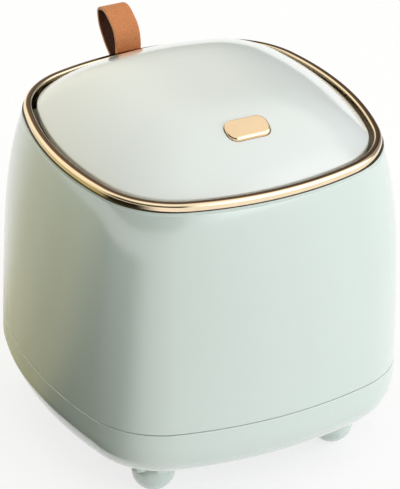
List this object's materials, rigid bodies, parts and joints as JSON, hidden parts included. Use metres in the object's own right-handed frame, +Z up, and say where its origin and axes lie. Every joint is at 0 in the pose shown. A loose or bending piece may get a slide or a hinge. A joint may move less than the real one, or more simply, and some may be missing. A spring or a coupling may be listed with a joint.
{
  "type": "push-top countertop bin",
  "caption": "Small domed-lid countertop waste bin on ball feet, with a push-button lid, a lift-off cover ring with a leather pull loop and a lift-out inner bucket.",
  "frame": {"origin": "on the countertop plane, under the middle of the square body", "axes": "+Z up, -Y towards the front with the push button, +Y towards the rear with the leather loop"},
  "size_m": [0.18, 0.1952, 0.1913],
  "materials": {
    "body_plastic": "high-gloss pale mint moulding",
    "lid_plastic": "high-gloss pale blue-white moulding",
    "gold_plating": "polished rose-gold plating",
    "liner_plastic": "satin pale grey moulding",
    "bucket_plastic": "matt pale grey moulding",
    "leather": "tan smooth leather",
    "steel": "bright zinc-plated steel"
  },
  "bodies": {
    "base": {"outer_shell": "body_plastic", "base_pan": "body_plastic", "base_screws": "steel", "foot_front_left": "body_plastic", "foot_front_right": "body_plastic", "foot_rear_left": "body_plastic", "foot_rear_right": "body_plastic", "foot_screws": "steel"},
    "cover": {"mouth_frame": "body_plastic", "trim_ring": "gold_plating", "strap": "leather", "strap_clamp": "steel", "strap_screws": "steel", "hinge_pin": "steel", "hinge_spring_left": "steel", "hinge_spring_right": "steel"},
    "lid": {"lid_cover": "lid_plastic", "lid_liner": "liner_plastic", "lid_screws": "steel", "button_spring": "steel", "latch_spring": "steel"},
    "button": {"push_button": "gold_plating"},
    "latch": {"latch_slide": "liner_plastic"},
    "bucket": {"inner_bucket": "bucket_plastic"}
  },
  "joints": [
    {"name": "cover_lift", "type": "slide", "parent": "base", "child": "cover", "axis": [0, 0, 1], "range_m": [0, 0.3]},
    {"name": "bucket_lift", "type": "slide", "parent": "base", "child": "bucket", "axis": [0, 0, 1], "range_m": [0, 0.15]},
    {"name": "lid_hinge", "type": "hinge", "parent": "cover", "child": "lid", "pos_m": [0, 0.0616, 0.1665], "axis": [-1, 0, 0], "range_deg": [0, 78], "deforming": ["hinge_spring_left", "hinge_spring_right"]},
    {"name": "button_press", "type": "slide", "parent": "lid", "child": "button", "axis": [0, 0, -1], "range_m": [0, 0.003], "stiffness_N_per_m": 150, "springref_m": -0.004, "deforming": ["button_spring"]},
    {"name": "latch_travel", "type": "slide", "parent": "lid", "child": "latch", "axis": [0, 1, 0], "range_m": [0, 0.003], "deforming": ["latch_spring"]}
  ],
  "couplings": [
    {"joint": "bucket_lift", "follows": "cover_lift", "ratio": 0.5},
    {"joint": "latch_travel", "follows": "button_press", "ratio": 1}
  ]
}
